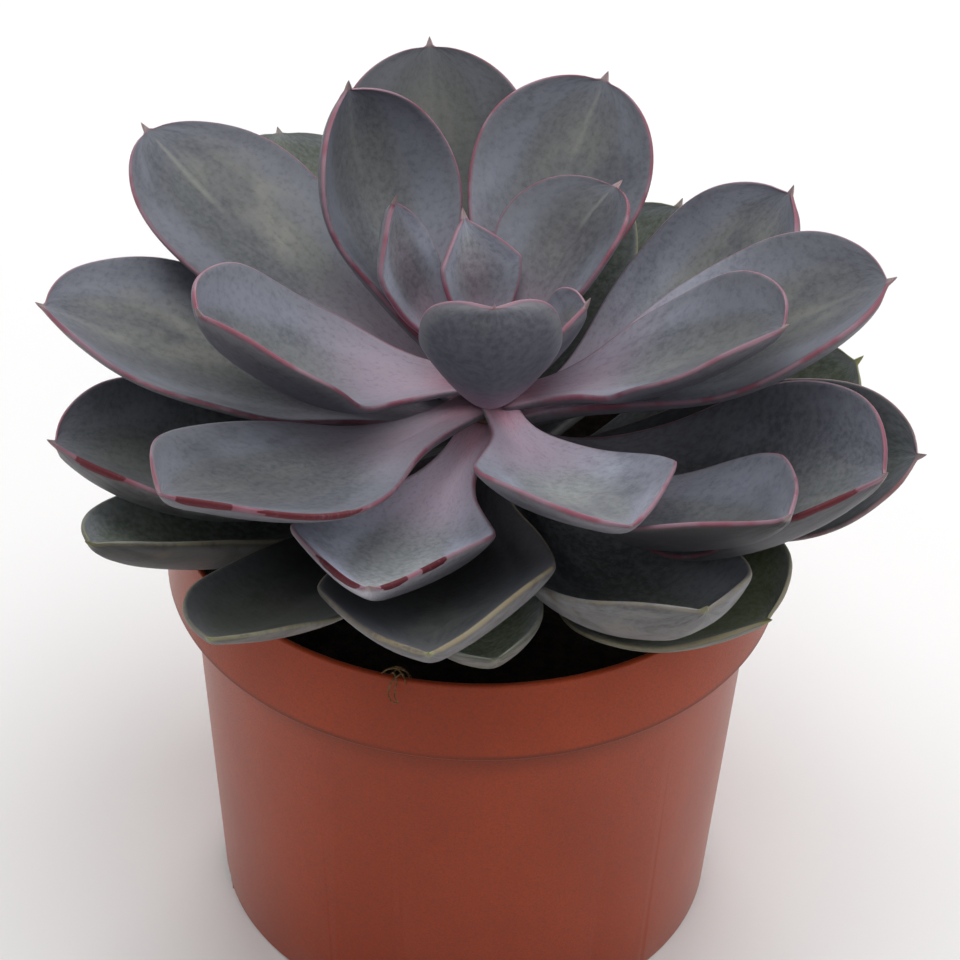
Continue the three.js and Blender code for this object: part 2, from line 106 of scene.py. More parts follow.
# The leaves from the heart outwards. turn, rise, curl, tilt and sweep in degrees; root, length and
# width in mm; channel is the depth of the hollow face against half the width; plump is the thickness
# against the usual; shoulder is how late the blade widens; corner is how late it narrows, and near 1
# it has angled shoulders; apex is how pointed the leaf is; tip is the length of its point.
LEAVES = [
    dict(turn=107, root=108, length=22, width=15, rise=60, curl=-14, tilt=16, sweep=6,
         channel=0.47, shoulder=1.2, corner=1.1, apex=0.9),
    dict(turn=145, root=108.5, length=30, width=16, rise=58, curl=74, tilt=3, sweep=17,
         channel=0.19, plump=1.1, shoulder=1.3, corner=1.5, apex=0.9),
    dict(turn=270, root=106.5, length=42, width=22, rise=56, curl=60, tilt=-2, sweep=12,
         channel=0.56, plump=0.65, shoulder=2.1, corner=2.6, apex=0.35, tip=0.8),
    dict(turn=56, root=106, length=35, width=24, rise=39, curl=-33, tilt=-8, sweep=-19,
         channel=0.36, apex=0.6),
    dict(turn=203, root=107, length=55, width=35, rise=29, curl=59, tilt=-5, sweep=30,
         channel=0.41, plump=0.65, shoulder=1.6, corner=1.9, apex=0.7),
    dict(turn=337, root=104.5, length=53, width=30, rise=33, curl=12, tilt=7, sweep=-19,
         channel=0.33, plump=0.9, shoulder=2.3),
    dict(turn=131, root=103.5, length=54, width=31, rise=50, curl=66, tilt=13, sweep=-9,
         channel=0.44, plump=0.8),
    dict(turn=288.5, root=103.2, length=62, width=32, rise=19, curl=22, tilt=-8, sweep=10,
         channel=0.35, plump=0.72, shoulder=2.2, corner=1.15, apex=0.95, tip=0.8),
    dict(turn=231, root=103.5, length=77, width=37, rise=18, curl=23, tilt=3, sweep=1,
         channel=0.16, plump=0.9, shoulder=2.8, apex=1.15, tip=0.7),
    dict(turn=73, root=103.5, length=57, width=30, rise=30, curl=18, tilt=9, sweep=-17,
         channel=0.48),
    dict(turn=147, root=101, length=71, width=34, rise=21, curl=17, tilt=-1, sweep=-9,
         channel=0.22),
    dict(turn=253, root=99.3, length=67, width=32, rise=13, curl=56, tilt=6, sweep=19,
         channel=0.44, plump=0.67, shoulder=2.4, corner=1.1, apex=1.1),
    dict(turn=-7, root=101.5, length=65, width=34, rise=29, curl=5, tilt=8, sweep=3, channel=0.25,
         plump=1.3),
    dict(turn=27, root=97, length=60, width=37, rise=31, curl=58, tilt=-7, sweep=7, channel=0.27),
    dict(turn=309, root=97.3, length=75, width=34, rise=21, curl=53, tilt=-1, sweep=-11,
         channel=0.44, plump=0.57, shoulder=4.4, corner=1.4, apex=0.97),
    dict(turn=102, root=97.5, length=70, width=35, rise=26, curl=15, tilt=-5, sweep=-13,
         channel=0.28),
    dict(turn=180, root=97.5, length=71, width=39, rise=18, curl=27, tilt=1, sweep=16,
         channel=0.28, plump=0.62),
    dict(turn=331, root=93.8, length=72, width=42, rise=18, curl=58, tilt=12, sweep=-17,
         channel=0.42, plump=0.65, shoulder=1.9),
    dict(turn=263, root=93.9, length=74, width=37, rise=13, curl=40, tilt=11, sweep=7,
         channel=0.36, plump=0.85, shoulder=1.6, corner=1.1, apex=0.95),
    dict(turn=299, root=89.9, length=70, width=35, rise=15, curl=72, tilt=-7, sweep=-3,
         channel=0.46, plump=0.72, corner=1.8, apex=0.66),
    dict(turn=195, root=93.5, length=69, width=36, rise=9, curl=48, sweep=6, channel=0.39,
         plump=1.15),
    dict(turn=235, root=89.2, length=76, width=24, rise=11, curl=47, tilt=3, sweep=24,
         channel=0.35, plump=0.6, corner=1.9, apex=0.57),
    dict(turn=82, root=92, length=70, width=30, rise=23, curl=31, tilt=-5, sweep=-3, channel=0.36),
    dict(turn=348, root=90.5, length=67, width=32, rise=13, curl=23, tilt=23, sweep=-17,
         channel=0.15),
    dict(turn=206, root=84.1, length=70, width=24, rise=11, curl=46, tilt=9, sweep=34,
         channel=0.46, plump=1.3),
    dict(turn=160, root=88, length=69, width=26, rise=14, tilt=-11, sweep=-18, channel=0.23,
         plump=1.1),
    dict(turn=316, root=86.5, length=57, width=39, rise=5, curl=46, tilt=4, sweep=-3, channel=0.22,
         plump=0.8),
    dict(turn=124, root=90.5, length=73, width=34, rise=16, curl=-12, tilt=6, sweep=-26,
         channel=0.26),
    dict(turn=15, root=84.5, length=60, width=31, rise=14, curl=41, tilt=17, sweep=3, channel=0.18,
         plump=1.05),
    dict(turn=79, root=87.5, length=67, width=31, rise=18, curl=47, tilt=7, sweep=-7, channel=0.22,
         plump=1.1),
    dict(turn=65, root=84, length=69, width=34, rise=11, curl=42, tilt=-9, sweep=-13, channel=0.34),
    dict(turn=130, root=83.5, length=76, width=30, rise=16, curl=-13, tilt=5, sweep=-3,
         channel=0.3),
    dict(turn=270, root=86, length=53, width=20, rise=8, curl=58, tilt=8, sweep=16, channel=0.45,
         plump=0.95),
    dict(turn=100, root=81, length=64, width=19, rise=14, curl=41, tilt=5, sweep=-31, channel=0.27),
]

# The young leaves of the bud, on the same form: one that stands apart, and a spiral of small ones
BUD_LEAF = dict(turn=349, root=105.5, length=21, width=15, rise=59, curl=0, tilt=6, channel=0.41)
BUD_LEAF_RING = 4.2
BUD_LEAVES = 5
GOLDEN_ANGLE = 137.5
BUD_TURN = 45
BUD_RING = 3.4
BUD_RING_STEP = 0.5
BUD_ROOT = 106.2
BUD_LENGTH = 11.5
BUD_LENGTH_STEP = 1.3
BUD_WIDTH = 0.7  # share of the length
BUD_RISE = 66
BUD_RISE_STEP = 4
BUD_CURL = 20
BUD_LEAF_INSIDE_STEM = 2  # how far the roots of these leaves run on into the core
BUD_INSIDE_STEM = 1
BUD_SEED = 50

# ---------------------------------------------------------------- small helpers


def lerp(a, b, x):
    return a + (b - a) * x


def step(low, high, x):
    """0 below low and 1 above high, with a smooth step between."""
    u = np.clip((np.asarray(x, float) - low) / (high - low), 0, 1)
    return u * u * (3 - 2 * u)


def display(red, green, blue):
    """A shader colour from display values of 0 to 255."""
    values = [v / 255 for v in (red, green, blue)]
    return [v / 12.92 if v <= 0.04045 else ((v + 0.055) / 1.055) ** 2.4 for v in values] + [1]


def make_piece(name, points, faces, material, attributes=None):
    """A smooth-shaded mesh object from points in mm, riding on the part's one body."""
    mesh = bpy.data.meshes.new(name)
    mesh.from_pydata((np.asarray(points, float) * MM).tolist(), [], faces)
    for key, values in (attributes or {}).items():
        values = np.asarray(values, float)
        kind = "FLOAT_VECTOR" if values.ndim == 2 else "FLOAT"
        layer = mesh.attributes.new(key, kind, "POINT")
        layer.data.foreach_set("vector" if values.ndim == 2 else "value", values.ravel())
    mesh.polygons.foreach_set("use_smooth", [True] * len(mesh.polygons))
    mesh.materials.append(material)
    mesh.update()
    obj = bpy.data.objects.new(name, mesh)
    COLLECTION.objects.link(obj)
    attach(obj, "root")
    return obj


# ---------------------------------------------------------------- shader building


class Shader:
    """A material whose nodes are added one value at a time."""

    def __init__(self, name):
        self.material = bpy.data.materials.new(name)
        self.material.use_nodes = True
        self.tree = self.material.node_tree
        self.surface = self.tree.nodes["Principled BSDF"]

    def add(self, kind, **settings):
        node = self.tree.nodes.new(kind)
        for key, value in settings.items():
            setattr(node, key, value)
        return node

    def put(self, socket, value):
        if isinstance(value, bpy.types.NodeSocket):
            self.tree.links.new(value, socket)
        else:
            socket.default_value = value

    def attribute(self, name, output="Fac"):
        return self.add("ShaderNodeAttribute", attribute_name=name).outputs[output]

    def math(self, operation, a, b=0.0):
        node = self.add("ShaderNodeMath", operation=operation)
        self.put(node.inputs[0], a)
        self.put(node.inputs[1], b)
        return node.outputs[0]

    def times(self, *values):
        product = values[0]
        for value in values[1:]:
            product = self.math("MULTIPLY", product, value)
        return product

    def ramp(self, x, low, high, start=0.0, end=1.0):
        node = self.add("ShaderNodeMapRange", interpolation_type="SMOOTHSTEP", clamp=True)
        for socket, value in zip(node.inputs, (x, low, high, start, end)):
            self.put(socket, value)
        return node.outputs[0]

    def mix(self, factor, a, b, blend="MIX"):
        node = self.add("ShaderNodeMix", data_type="RGBA", blend_type=blend)
        self.put(node.inputs["Factor"], factor)
        self.put(node.inputs[6], a)
        self.put(node.inputs[7], b)
        return node.outputs[2]

    def tint(self, colour, amount, *display_values):
        """The colour with some of a display colour laid over it."""
        return self.mix(amount, colour, display(*display_values))

    def stretch(self, vector, x, y, z):
        node = self.add("ShaderNodeVectorMath", operation="MULTIPLY")
        self.put(node.inputs[0], vector)
        node.inputs[1].default_value = (x, y, z)
        return node.outputs[0]

    def noise(self, vector, scale, detail=3.0, roughness=0.55, distortion=0.0):
        node = self.add("ShaderNodeTexNoise")
        self.put(node.inputs["Vector"], vector)
        for key, value in (("Scale", scale), ("Detail", detail), ("Roughness", roughness),
                           ("Distortion", distortion)):
            node.inputs[key].default_value = value
        return node.outputs["Fac"]

    def bump(self, *layers):
        """Bump from (height, distance in mm) pairs, one on top of the other."""
        normal = None
        for height, distance in layers:
            node = self.add("ShaderNodeBump")
            node.inputs["Strength"].default_value = 1.0
            node.inputs["Distance"].default_value = distance * MM
            self.put(node.inputs["Height"], height)
            if normal is not None:
                self.put(node.inputs["Normal"], normal)
            normal = node.outputs[0]
        self.put(self.surface.inputs["Normal"], normal)

    def finish(self, colour, roughness, **uniform):
        self.put(self.surface.inputs["Base Color"], colour)
        self.put(self.surface.inputs["Roughness"], roughness)
        for key, value in uniform.items():
            self.surface.inputs[key.replace("_", " ")].default_value = value
        return self.material


def in_mm(shader):
    """Place in the part's frame, in mm."""
    place = shader.add("ShaderNodeTexCoord").outputs["Object"]
    return shader.stretch(place, 1 / MM, 1 / MM, 1 / MM)


# ---------------------------------------------------------------- materials


def leaf_inputs(s):
    """What the leaf's colours are worked out from: the mesh's values, ages and noises."""
    names = ("along", "rim", "under", "age", "green", "edge_green", "red", "brown")
    v = SimpleNamespace(**{name: s.attribute(name) for name in names})
    v.side = s.attribute("across")
    v.across = s.math("ABSOLUTE", v.side)
    v.old = s.ramp(v.age, 0.5, 0.85)
    v.young = s.ramp(v.age, 0.55, 0.35)
    v.budding = s.ramp(v.age, 0.12, 0.05)
    v.grain = s.attribute("grain", "Vector")
    v.streaks = s.noise(s.stretch(v.grain, 0.05, 0.32, 1), 1.0, 4, 0.6, 0.4)
    v.clouds = s.noise(s.stretch(v.grain, 0.06, 0.1, 1), 1.0, 3, 0.5)
    v.mottle = s.noise(v.grain, 0.9, 4, 0.65)
    v.beads = s.noise(s.stretch(v.grain, 0.16, 0.16, 1), 1.0, 2, 0.5)
    return v


def upper_face(s, v):
    """Blue-grey lobes partly painted as sheen, a greener middle with a paler patch, a short pale line
    on the midrib, painted shade on old leaves.
    """
    along, across = v.along, v.across
    middle = s.times(s.ramp(across, 0.85, 0.25), s.ramp(along, 0.2, 0.5), s.ramp(along, 1.0, 0.82))
    colour = s.mix(s.times(middle, 0.9), display(104, 107, 118), display(90, 94, 96))
    # Painted sheen: the pale blue-grey band along the lobes is partly the wax bloom's own colour and
    # partly painted pale light.
    lobes = s.times(s.ramp(across, 0.4, 0.62), s.ramp(across, 0.97, 0.75), s.ramp(v.clouds, 0.35, 0.6))
    colour = s.tint(colour, s.times(lobes, 0.6), 128, 132, 147)
    off_middle = s.math("ABSOLUTE", s.math("SUBTRACT", v.side, s.attribute("pale_side")))
    patch = s.times(s.ramp(off_middle, 0.6, 0.1), s.ramp(along, 0.35, 0.6), s.ramp(along, 0.97, 0.8),
                    s.ramp(v.beads, 0.3, 0.55, 0.35, 1.0), s.ramp(v.streaks, 0.3, 0.6, 0.45, 1.0))
    colour = s.tint(colour, s.times(patch, s.attribute("pale")), 138, 139, 131)
    colour = s.tint(colour, s.times(s.ramp(v.clouds, 0.5, 0.33), 0.5), 76, 78, 89)
    midrib_line = s.times(s.ramp(across, 0.07, 0.0), s.ramp(along, 0.99, 0.95),
                          s.ramp(along, 0.68, 0.8), s.attribute("line"))
    colour = s.tint(colour, midrib_line, 146, 148, 140)

    # Old leaves turn olive, and their darkness is partly painted shade from the leaves above.
    aged_and_shaded = s.mix(s.ramp(v.clouds, 0.35, 0.7), display(56, 67, 52), display(82, 92, 70))
    colour = s.mix(s.times(v.old, 0.95), colour, aged_and_shaded)
    colour = s.tint(colour, s.times(v.green, 0.7), 86, 95, 50)
    # Painted shade: old leaves darker towards the root, where the leaves above shade them.
    shade = s.times(s.ramp(v.age, 0.4, 0.6), s.ramp(along, 0.75, 0.35), 0.75)
    colour = s.tint(colour, shade, 36, 38, 37)
    flush = s.times(v.budding, s.ramp(across, 0.75, 0.1), s.ramp(along, 0.95, 0.55), 0.6)
    colour = s.tint(colour, flush, 98, 80, 94)
    rosy = s.times(s.ramp(along, 0.52, 0.12), v.young, 0.85)
    colour = s.tint(colour, rosy, 166, 146, 162)
    colour = s.tint(colour, s.times(s.ramp(along, 0.14, 0.0), v.young, 0.7), 158, 92, 108)
    edge_bloom = s.times(s.ramp(v.rim, 4.5, 0.6), 0.3)
    return s.tint(colour, edge_bloom, 126, 128, 140)


def lower_face(s, v):
    """Blue-grey with a paler rim on young leaves, purple-grey and then pale grey on old ones."""
    colour = s.mix(s.ramp(v.age, 0.07, 0.2), display(91, 92, 103), display(92, 88, 96))
    colour = s.tint(colour, s.ramp(v.age, 0.2, 0.5), 112, 110, 115)
    colour = s.tint(colour, s.times(v.old, 0.8), 119, 116, 99)
    colour = s.tint(colour, s.times(s.ramp(v.clouds, 0.5, 0.8), 0.4), 88, 85, 88)
    colour = s.tint(colour, s.times(s.ramp(v.rim, 2.4, 0.5), 0.5), 140, 138, 144)
    colour = s.tint(colour, s.times(v.budding, s.ramp(v.along, 0.62, 0.25), 0.9), 166, 120, 142)
    colour = s.tint(colour, s.times(v.green, 0.5), 106, 108, 66)
    smudges = s.noise(s.stretch(v.grain, 0.13, 0.2, 1), 1.0, 5, 0.65, 0.8)
    weathered = s.ramp(v.age, 0.42, 0.6)
    colour = s.tint(colour, s.times(weathered, s.ramp(smudges, 0.47, 0.62), 0.6), 72, 66, 56)
    return s.tint(colour, s.times(weathered, s.ramp(smudges, 0.45, 0.36), 0.4), 140, 136, 122)


def leaf_tone_and_light(s, v):
    """The leaf's depth of colour, as a grey to multiply by: partly its own colour and partly painted
    light and shade, with the half near the root painted lighter on some leaves and darker on others.
    """
    # Painted light and shade: the per-leaf depth of colour above and below, and the ramp towards the
    # root, stand in part for light and shade.
    root_light_ramp = s.ramp(v.along, 0.75, 0.4, 1.0, s.attribute("root_light_and_shade"))
    above = s.times(s.attribute("tone_and_light"), root_light_ramp, s.math("SUBTRACT", 1.0, v.under))
    tone_and_light = s.math("ADD", above, s.times(s.attribute("under_tone_and_light"), v.under))
    depth = s.add("ShaderNodeCombineColor")
    for socket in depth.inputs[:3]:
        s.put(socket, tone_and_light)
    return depth.outputs[0]


def with_margin(s, v, colour):
    """A thin pink to dull red line, yellow-green on the oldest leaves, with dashes and dry spots."""
    reach = s.math("ADD", v.rim, s.math("MULTIPLY", v.streaks, 0.15))
    worn = s.ramp(s.math("ADD", v.streaks, s.times(v.mottle, 0.6)), 0.66, 0.84, 0.35, 1.0)
    worn = s.math("MAXIMUM", worn, s.ramp(v.age, 0.6, 0.45))
    # Painted shade: on old leaves the line starts further out from the root, where their root half
    # lies in shade.
    line_from = s.ramp(v.age, 0.6, 0.9, 0.03, 0.3)
    line_to = s.ramp(v.age, 0.6, 0.9, 0.2, 0.55)
    strength = s.times(s.ramp(v.along, line_from, line_to), s.attribute("edge"), worn)
    flushed = s.ramp(v.beads, 0.42, 0.6)
    inner_line = s.mix(flushed, display(116, 84, 96), display(116, 52, 68))
    inner_line = s.tint(inner_line, v.edge_green, 98, 96, 70)
    colour = s.mix(s.times(s.ramp(reach, 0.55, 0.18), strength, 0.5), colour, inner_line)
    outer_line = s.mix(flushed, display(158, 118, 132), display(146, 74, 92))
    outer_line = s.tint(outer_line, v.edge_green, 146, 144, 106)
    colour = s.mix(s.times(s.ramp(reach, 0.3, 0.12), strength, 0.75), colour, outer_line)
    tip_colour = s.mix(s.attribute("green_tip"), display(170, 150, 150), display(150, 152, 92))
    colour = s.mix(s.times(s.ramp(v.along, 0.995, 1.01), 0.75, strength), colour, tip_colour)
    crimson = s.times(s.ramp(v.red, 0.3, 0.55), s.ramp(v.mottle, 0.25, 0.45, 0.7, 1.0))
    colour = s.tint(colour, crimson, 92, 20, 32)
    dry = s.times(v.brown, s.ramp(v.mottle, 0.3, 0.55, 0.25, 1.0), 0.85)
    return s.tint(colour, dry, 80, 70, 54)


def leaf_material():
    s = Shader("leaf_flesh")
    v = leaf_inputs(s)
    colour = s.mix(v.under, upper_face(s, v), lower_face(s, v))
    colour = s.tint(colour, s.times(s.ramp(v.mottle, 0.35, 0.7), 0.24), 146, 148, 154)
    colour = s.tint(colour, s.times(s.ramp(v.mottle, 0.5, 0.3), 0.24), 62, 64, 70)
    # The leaf's depth of colour, partly painted light and shade, multiplies the colour.
    colour = s.mix(1.0, colour, leaf_tone_and_light(s, v), "MULTIPLY")
    colour = with_margin(s, v, colour)
    s.bump((v.clouds, 0.5), (v.mottle, 0.05))
    roughness = s.ramp(v.mottle, 0.2, 0.8, 0.5, 0.62)
    return s.finish(colour, roughness, Specular_IOR_Level=0.4, Sheen_Weight=0.08,
                    Sheen_Roughness=0.5, Sheen_Tint=display(225, 228, 245))


def pot_material():
    s = Shader("pot_plastic")
    place = in_mm(s)
    speckle = s.noise(place, 2.6, 4, 0.8)
    broad = s.noise(s.stretch(place, 0.05, 0.05, 0.03), 1.0, 3)
    colour = s.mix(s.ramp(broad, 0.35, 0.7), display(157, 60, 27), display(167, 65, 30))
    colour = s.tint(colour, s.times(s.ramp(speckle, 0.45, 0.62), 0.5), 104, 58, 46)
    colour = s.tint(colour, s.times(s.ramp(speckle, 0.44, 0.3), 0.4), 178, 76, 34)
    parts = s.add("ShaderNodeSeparateXYZ")
    s.put(parts.inputs[0], place)
    height = parts.outputs[2]
    dust = s.times(s.ramp(height, 8.0, 0.0), s.ramp(broad, 0.4, 0.7), 0.25)
    colour = s.tint(colour, dust, 150, 128, 112)
    # Painted shade: a dark band on the wall under the collar's overhang and over the collar's lower
    # edge, where it also dims that edge's highlight.
    painted_collar_shade = s.times(s.ramp(height, LEDGE - 9, LEDGE - 1), s.ramp(height, LEDGE + 1.2, LEDGE + 0.4))
    colour = s.tint(colour, s.times(painted_collar_shade, s.ramp(broad, 0.3, 0.6, 0.35, 0.6)), 84, 40, 28)
    s.bump((speckle, 0.04), (broad, 0.2))
    return s.finish(colour, 0.36, Specular_IOR_Level=0.2, Sheen_Weight=0.22, Sheen_Roughness=0.3,
                    Sheen_Tint=display(255, 240, 232))


def soil_material():
    s = Shader("potting_mix")
    place = in_mm(s)
    lumps = s.noise(place, 0.45, 5, 0.7)
    crumbs = s.noise(place, 2.2, 4, 0.7)
    colour = s.mix(s.ramp(lumps, 0.35, 0.7), display(28, 23, 20), display(48, 38, 31))
    colour = s.tint(colour, s.times(s.ramp(crumbs, 0.6, 0.8), 0.6), 84, 66, 50)
    s.bump((lumps, 1.2), (crumbs, 0.4))
    return s.finish(colour, 0.95, Specular_IOR_Level=0.2)


def stem_material():
    s = Shader("stem_bark")
    place = in_mm(s)
    rings = s.noise(s.stretch(place, 0.3, 0.3, 1.4), 1.0, 4, 0.6)
    colour = s.mix(s.ramp(rings, 0.35, 0.7), display(92, 70, 58), display(138, 112, 92))
    s.bump((rings, 0.8))
    return s.finish(colour, 0.8, Specular_IOR_Level=0.3)


def root_material():
    s = Shader("root_fibre")
    fibre = s.noise(in_mm(s), 1.3, 3, 0.6)
    colour = s.mix(s.ramp(fibre, 0.35, 0.65), display(78, 66, 42), display(142, 112, 74))
    return s.finish(colour, 0.8, Specular_IOR_Level=0.2)


LEAF = leaf_material()
POT = pot_material()
SOIL = soil_material()
STEM = stem_material()
ROOT = root_material()

# ---------------------------------------------------------------- leaf form


def width_share(station, leaf):
    """Width of the blade there, as a share of its greatest."""
    inside = np.clip(station, 0, 1)
    apex = leaf.get("apex", APEX_POWER)
    swell = np.sin(np.pi / 2 * np.minimum(inside / WIDEST, 1)) ** leaf.get("shoulder", SHOULDER)
    past = np.clip((inside - WIDEST) / (1 - WIDEST), 0, 1)
    falling = (1 - past ** leaf.get("corner", CORNER)) ** apex
    return np.where(inside < WIDEST, lerp(ROOT_SHARE, 1, swell), falling)


def thickness_share(station):
    """Thickness through the middle there, as a share of the greatest."""
    inside = np.clip(station, 0, 1)
    near = lerp(ROOT_THICKNESS, 1, np.sin(np.pi / 2 * np.minimum(inside / THICKEST, 1)))
    past = np.clip((inside - THICKEST) / (1 - THICKEST), 0, 1)
    return np.where(inside < THICKEST, near, np.maximum(LEAST_THICKNESS, np.sqrt(1 - past ** 3)))


def leaf_directions(leaf, station):
    """Unit vectors along the midrib, to its left, and up out of the hollow face."""
    inside = np.clip(station, 0, 1)
    curl = leaf.get("curl", CURL)
    bend = (2 * inside - 1) * lerp(CURL_START, CURL_END, inside)
    slope = np.radians(leaf["rise"] + curl * bend)
    heading = np.radians(leaf.get("sweep", 0) * (inside - STRAIGHT_STATION))
    along = np.stack([np.cos(slope) * np.cos(heading), np.cos(slope) * np.sin(heading),
                      np.sin(slope)], -1)
    left = np.stack([-np.sin(heading), np.cos(heading), 0 * heading], -1)
    up = np.cross(along, left)
    tilt = math.radians(leaf.get("tilt", 0))
    return (along, left * math.cos(tilt) + up * math.sin(tilt),
            up * math.cos(tilt) - left * math.sin(tilt))


def midrib(leaf, stations):
    """Points of the midrib at the given stations, from the root at the origin."""
    fine = np.linspace(stations[0], stations[-1], 600)
    along, _, _ = leaf_directions(leaf, fine)
    middle = (along[1:] + along[:-1]) / 2 * np.diff(fine)[:, None] * leaf["length"]
    path = np.vstack([np.zeros(3), np.cumsum(middle, axis=0)])
    path = np.stack([np.interp(stations, fine, path[:, k]) for k in range(3)], -1)
    start = np.array([np.interp(0, stations, path[:, k]) for k in range(3)])
    return path - start


ROWS = 60  # rings along a leaf
ACROSS = 30  # facets across each face
TIP_CROWDING = 1.8  # how much closer the rings come towards the tip
EDGE_CROWDING = 0.85  # how much closer the points of a ring come towards its edges, 0 to 1
INSIDE_STEM = 3.0  # how far a leaf's root runs on into the stem, mm
SMALL_WIDTH = 20  # leaves narrower than this have a finer margin, point and crease, mm
SMALL_MARGIN = 0.7  # thinnest margin, as a share of the usual one
SPIKE_RADIUS = 0.85  # half width of the pointed tip at its foot, mm
SPIKE_LENGTH = 3.0
SPIKE_POWER = 0.9
TIP_TAPER = 3.5  # length over which the thickness runs out at the tip, mm
TIP_TAPER_POWER = 0.7
EDGE_ROUNDING = 0.6  # reach of the rounded margin in from the edge, mm
MOST_ROUNDING = 0.6  # and at most this share of half the width
KEEL_HEIGHT = 0.35  # ridge along the middle of the lower face, mm
KEEL_REACH = 1.8
KEEL_STATIONS = (0.35, 0.7)
CREASE_DEPTH = 0.3  # groove along the middle of the upper face, mm
CREASE_REACH = 1.5
CREASE_STATIONS = (0.02, 0.2, 0.7, 0.95)
RIPPLE_OF_WIDTH = 0.0132  # height of the waves of the edge, against the leaf's width
RIPPLE_STATIONS = (0.15, 0.45, 0.85, 1.02)
RIPPLE_WAVES = (1.6, 2.6)  # least and most waves along an edge
GRAIN_STEP = 7.3  # keeps the pattern of each leaf apart from the next one's
DASH_WIDTH = 0.42  # reach of the dark dashes in from the edge, mm


def between(stations, rise_from, rise_to, fall_from, fall_to):
    """1 in the middle of the leaf, running smoothly down to 0 at both ends, as a column."""
    return (step(rise_from, rise_to, stations) * step(fall_to, fall_from, stations))[:, None]


def leaf_stations(leaf, inside_stem):
    """Stations of a leaf's rings, from inside the stem to the very tip."""
    first = -inside_stem / leaf["length"]
    last = 1 + leaf.get("tip", POINT) / leaf["length"]
    x = np.linspace(0, 1, ROWS)
    return first + (last - first) * (1 - (1 - x) ** TIP_CROWDING)


def half_width(leaf, stations, to_tip, small):
    """Half the width of each ring in mm, as a column, with the point at the tip."""
    blade = width_share(stations, leaf) * leaf["width"] / 2
    foot = SPIKE_RADIUS * small * leaf.get("tip", POINT) / POINT
    spike = foot * np.clip(to_tip / SPIKE_LENGTH, 0, 1) ** SPIKE_POWER
    return np.where(stations > 1, spike, (blade ** 4 + spike ** 4) ** 0.25)[:, None]


def edge_ripple(leaf, stations, t, draw):
    """Lift of the blade in mm: low waves along both edges, each with its own start."""
    waves = draw.uniform(*RIPPLE_WAVES)
    phases = draw.uniform(0, 6.3), draw.uniform(0, 6.3)
    run = 2 * np.pi * waves * stations[:, None]
    wave = np.where(t < 0, np.sin(run + phases[0]), np.sin(run + phases[1])) * np.abs(t) ** 3
    return RIPPLE_OF_WIDTH * leaf["width"] * between(stations, *RIPPLE_STATIONS) * wave


def ringed(over, beneath):
    """One ring: the upper face from right to left, then back across the lower face."""
    return np.concatenate([over, beneath[:, -2:0:-1]], axis=1)


def leaf_faces(rings):
    """Quads between the rings, a fan to the tip, and quads across the root's end."""
    size = 2 * ACROSS
    faces = []
    for row in range(rings - 1):
        a, b = row * size, (row + 1) * size
        for j in range(size):
            k = (j + 1) % size
            faces.append((a + j, b + j, b + k, a + k))
    last, tip = (rings - 1) * size, rings * size
    for j in range(size):
        faces.append((last + j, tip, last + (j + 1) % size))
    faces.append((0, 1, size - 1))
    for j in range(1, ACROSS - 1):
        faces.append((j, j + 1, size - j - 1, size - j))
    faces.append((ACROSS - 1, ACROSS, ACROSS + 1))
    return faces


def on_stem(points, leaf, ring):
    """The points of a leaf moved from its own frame to its place round the stem."""
    turn = math.radians(leaf["turn"])
    spin = np.array([[math.cos(turn), -math.sin(turn), 0], [math.sin(turn), math.cos(turn), 0],
                     [0, 0, 1]])
    return (points + [ring, 0, leaf["root"]]) @ spin.T + [STEM_X, 0, 0]


def leaf_skin(leaf, stations, seed):
    """Points of both faces ring by ring, the tip, their places across (-1 to 1) and half widths."""
    small = min(1, leaf["width"] / SMALL_WIDTH)
    channel = leaf.get("channel", CHANNEL)
    middle = midrib(leaf, stations)
    tip, middle, rings = middle[-1], middle[:-1], stations[:-1]
    _, left, up = leaf_directions(leaf, rings)
    to_tip = (stations[-1] - rings) * leaf["length"]
    half = half_width(leaf, rings, to_tip, small)
    even = np.linspace(-1, 1, ACROSS + 1)
    t = lerp(even, np.sin(even * np.pi / 2), EDGE_CROWDING)[None, :]

    margin = MARGIN * lerp(SMALL_MARGIN, 1, small)
    base, of_width = THICKNESS_OF_WIDTH
    thick = leaf.get("plump", 1) * (base + of_width * leaf["width"])
    extra = np.maximum(0, thick * thickness_share(rings) - margin)[:, None]
    taper = np.clip(to_tip / TIP_TAPER, 0, 1)[:, None] ** TIP_TAPER_POWER
    depth = (margin + extra * (1 - t ** 2) ** FULLNESS) * taper
    keel = KEEL_HEIGHT * np.exp(-(t * half / KEEL_REACH) ** 2)
    keel = keel * step(*KEEL_STATIONS, rings)[:, None] * taper * (1 - t ** 2)
    rounded_from = 1 - np.minimum(EDGE_ROUNDING / half, MOST_ROUNDING)
    past = np.clip((np.abs(t) - rounded_from) / (1 - rounded_from), 0, 1)
    round_off = margin / 2 * taper * (1 - np.sqrt(1 - past ** 2))
    crease = CREASE_DEPTH * small * np.exp(-(t * half / CREASE_REACH) ** 2)
    crease = crease * between(rings, *CREASE_STATIONS)
    lift = channel * half * t ** 2 + edge_ripple(leaf, rings, t, random.Random(seed))

    left, up = left[:, None, :], up[:, None, :]
    skin = middle[:, None, :] + left * (t * half)[..., None] + up * lift[..., None]
    outwards = up - left * (2 * channel * t)[..., None]
    outwards = outwards / np.linalg.norm(outwards, axis=2, keepdims=True)
    upper = skin - outwards * (round_off + crease)[..., None]
    lower = skin - outwards * (depth + keel - round_off)[..., None]
    return upper, lower, tip, t, half


